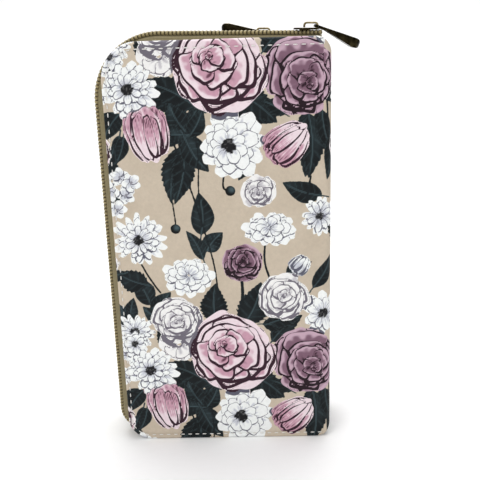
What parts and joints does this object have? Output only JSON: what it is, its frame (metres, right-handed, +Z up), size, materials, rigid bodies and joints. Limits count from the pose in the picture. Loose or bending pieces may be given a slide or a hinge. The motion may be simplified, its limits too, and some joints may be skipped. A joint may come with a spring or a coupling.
{
  "type": "double zip-around wallet",
  "caption": "Long floral faux-leather wallet with two book-opening zip compartments round a divider, card pockets, coin pocket and brass sliders and pulls.",
  "frame": {"origin": "middle of the divider's bottom edge, which the wallet stands on", "axes": "+Z up along the wallet's length, +X towards the spine, front cover towards -Y"},
  "size_m": [0.1184, 0.036, 0.1992],
  "materials": {
    "printed_shell": "satin printed faux leather",
    "stiffener": "matt fibre board",
    "lining_cloth": "fine twill lining",
    "pocket_leather": "satin plain faux leather",
    "zip_tape": "woven herringbone tape",
    "zip_teeth": "brass-toned nylon coil",
    "antique_brass": "antique brass plate"
  },
  "bodies": {
    "root": {"spine_shell": "printed_shell", "spine_board": "stiffener", "front_spine_lining": "lining_cloth", "rear_spine_lining": "lining_cloth", "divider_board": "stiffener", "divider_front_lining": "lining_cloth", "divider_rear_lining": "lining_cloth", "slip_pocket": "pocket_leather", "front_inner_tape": "zip_tape", "front_inner_chain": "zip_teeth", "rear_inner_tape": "zip_tape", "rear_inner_chain": "zip_teeth", "coin_pocket_panel": "pocket_leather", "coin_pocket_welt": "pocket_leather", "coin_zip_tape": "zip_tape", "coin_zip_chain": "zip_teeth"},
    "front_cover": {"front_cover_shell": "printed_shell", "front_cover_board": "stiffener", "front_cover_lining": "lining_cloth", "front_cover_card_pocket_1": "pocket_leather", "front_cover_card_pocket_2": "pocket_leather", "front_cover_card_pocket_3": "pocket_leather", "front_cover_card_pocket_4": "pocket_leather", "front_cover_tape": "zip_tape", "front_cover_chain": "zip_teeth"},
    "back_cover": {"back_cover_shell": "printed_shell", "back_cover_board": "stiffener", "back_cover_lining": "lining_cloth", "back_cover_card_pocket_1": "pocket_leather", "back_cover_card_pocket_2": "pocket_leather", "back_cover_card_pocket_3": "pocket_leather", "back_cover_card_pocket_4": "pocket_leather", "back_cover_tape": "zip_tape", "back_cover_chain": "zip_teeth"},
    "front_slider": {"front_slider_body": "antique_brass", "front_slider_crown": "antique_brass"},
    "front_pull": {"front_pull": "antique_brass"},
    "rear_slider": {"rear_slider_body": "antique_brass", "rear_slider_crown": "antique_brass"},
    "rear_pull": {"rear_pull": "antique_brass"},
    "coin_slider": {"coin_slider_body": "antique_brass", "coin_slider_crown": "antique_brass"},
    "coin_pull": {"coin_pull": "antique_brass"}
  },
  "joints": [
    {"name": "front_cover_hinge", "type": "hinge", "parent": "root", "child": "front_cover", "pos_m": [0.0466, -0.018, 0.096], "axis": [0, 0, 1], "range_deg": [0, 120]},
    {"name": "back_cover_hinge", "type": "hinge", "parent": "root", "child": "back_cover", "pos_m": [0.0466, 0.018, 0.096], "axis": [0, 0, -1], "range_deg": [0, 120]},
    {"name": "front_slider_slide", "type": "slide", "parent": "root", "child": "front_slider", "axis": [-0.9997, 0, 0.0244], "range_m": [0, 0.058]},
    {"name": "front_pull_hinge", "type": "hinge", "parent": "front_slider", "child": "front_pull", "pos_m": [0.04369, -0.0084, 0.19673], "axis": [0, -1, 0], "range_deg": [0, 195]},
    {"name": "rear_slider_slide", "type": "slide", "parent": "root", "child": "rear_slider", "axis": [-0.9997, 0, 0.0244], "range_m": [0, 0.037]},
    {"name": "rear_pull_hinge", "type": "hinge", "parent": "rear_slider", "child": "rear_pull", "pos_m": [0.02309, 0.0084, 0.19524], "axis": [0, -1, 0], "range_deg": [-168, 0]},
    {"name": "coin_slider_slide", "type": "slide", "parent": "root", "child": "coin_slider", "axis": [0, 0, -1], "range_m": [0, 0.125]},
    {"name": "coin_pull_hinge", "type": "hinge", "parent": "coin_slider", "child": "coin_pull", "pos_m": [-0.029, 0.00556, 0.16159], "axis": [1, 0, 0], "range_deg": [0, 28]}
  ],
  "couplings": [
    {"joint": "front_pull_hinge", "follows": "front_slider_slide", "rad_per_m": 58.6}
  ]
}
